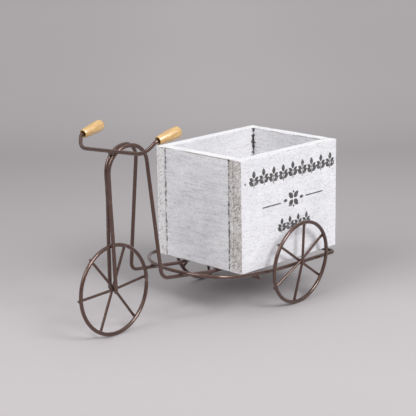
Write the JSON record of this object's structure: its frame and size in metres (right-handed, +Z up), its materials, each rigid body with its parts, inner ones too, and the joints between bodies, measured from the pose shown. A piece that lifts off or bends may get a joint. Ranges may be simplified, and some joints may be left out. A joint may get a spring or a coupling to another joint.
{
  "type": "tricycle planter stand",
  "caption": "Small wooden planter box carried by a bent wire stand in the shape of a tricycle, with spoked wheels, an arched fork, a handlebar and turned grips.",
  "frame": {"origin": "on the ground under the middle of the whole object", "axes": "+Z up, the front wheel towards -Y, the rider's left towards +X"},
  "size_m": [0.1586, 0.3244, 0.2171],
  "materials": {
    "brown_wire": "dark brown, half gloss, slightly uneven",
    "whitewashed_wood": "whitewashed sawn softwood, matte",
    "grip_wood": "turned and varnished, golden, gloss",
    "nail_steel": "dull steel, flush"
  },
  "bodies": {
    "stand": {"front_wheel_rim": "brown_wire", "front_wheel_spoke_1": "brown_wire", "front_wheel_spoke_2": "brown_wire", "front_wheel_spoke_3": "brown_wire", "rear_left_wheel_rim": "brown_wire", "rear_left_wheel_spoke_1": "brown_wire", "rear_left_wheel_spoke_2": "brown_wire", "rear_left_wheel_spoke_3": "brown_wire", "rear_right_wheel_rim": "brown_wire", "rear_right_wheel_spoke_1": "brown_wire", "rear_right_wheel_spoke_2": "brown_wire", "rear_right_wheel_spoke_3": "brown_wire", "arch_wire_left": "brown_wire", "arch_wire_right": "brown_wire", "platform_ring": "brown_wire", "cross_rod": "brown_wire", "handlebar": "brown_wire", "grip_left": "grip_wood", "grip_right": "grip_wood"},
    "planter_box": {"floor_board": "whitewashed_wood", "box_nails": "nail_steel", "side_board_left": "whitewashed_wood", "side_board_right": "whitewashed_wood", "front_board": "whitewashed_wood", "rear_board": "whitewashed_wood"}
  },
  "joints": [
    {"name": "planter_box_lift", "type": "slide", "parent": "stand", "child": "planter_box", "axis": [0, 0, 1], "range_m": [0, 0.17]}
  ]
}
